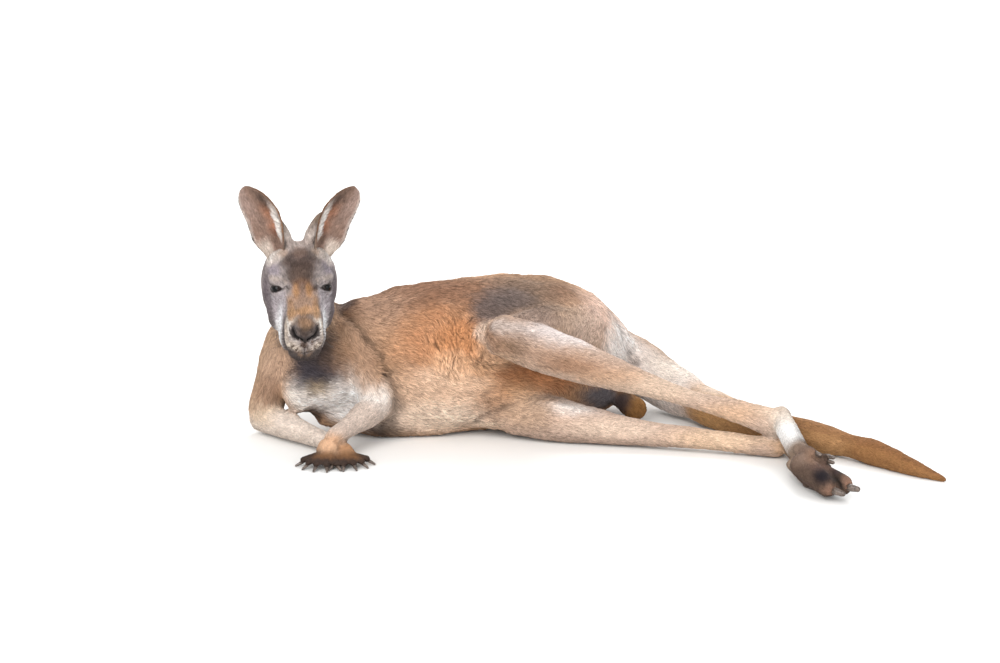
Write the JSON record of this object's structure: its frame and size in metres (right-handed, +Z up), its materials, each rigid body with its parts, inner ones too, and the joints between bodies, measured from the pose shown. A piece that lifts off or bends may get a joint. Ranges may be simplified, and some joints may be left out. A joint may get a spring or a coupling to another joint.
{
  "type": "red kangaroo",
  "caption": "Life-size adult male red kangaroo lying on its side, propped on crossed forearms, with its legs and thick tail stretched out behind it.",
  "frame": {"origin": "on the floor, under the middle of the whole animal", "axes": "+Z up; the tail is towards +X; the face, belly and feet are towards -Y"},
  "size_m": [1.2868, 0.7024, 0.4934],
  "materials": {
    "fur_rufous": "matte",
    "fur_pale": "matte",
    "fur_grey": "matte",
    "skin_dark": "satin",
    "eye": "gloss",
    "claw": "satin"
  },
  "bodies": {
    "root": {"ear_left": "fur_grey", "ear_right": "fur_grey", "eye_left": "eye", "eye_right": "eye", "finger_claw_left_fifth": "claw", "finger_claw_left_first": "claw", "finger_claw_left_fourth": "claw", "finger_claw_left_second": "claw", "finger_claw_left_third": "claw", "finger_claw_right_fifth": "claw", "finger_claw_right_first": "claw", "finger_claw_right_fourth": "claw", "finger_claw_right_second": "claw", "finger_claw_right_third": "claw", "foot_left": "skin_dark", "foot_right": "skin_dark", "forearm_left": "fur_pale", "forearm_right": "fur_pale", "hand_left": "skin_dark", "hand_right": "skin_dark", "head": "fur_grey", "neck": "fur_rufous", "scrotum": "fur_pale", "shank_left": "fur_pale", "shank_right": "fur_pale", "tail_middle": "fur_rufous", "tail_root": "fur_pale", "tail_tip": "fur_rufous", "thigh_left": "fur_rufous", "thigh_right": "fur_rufous", "toe_claw_left_fifth": "claw", "toe_claw_left_fourth": "claw", "toe_claw_left_second": "claw", "toe_claw_left_third": "claw", "toe_claw_right_fifth": "claw", "toe_claw_right_fourth": "claw", "toe_claw_right_second": "claw", "toe_claw_right_third": "claw", "trunk": "fur_rufous", "upper_arm_left": "fur_rufous", "upper_arm_right": "fur_rufous"}
  },
  "joints": []
}
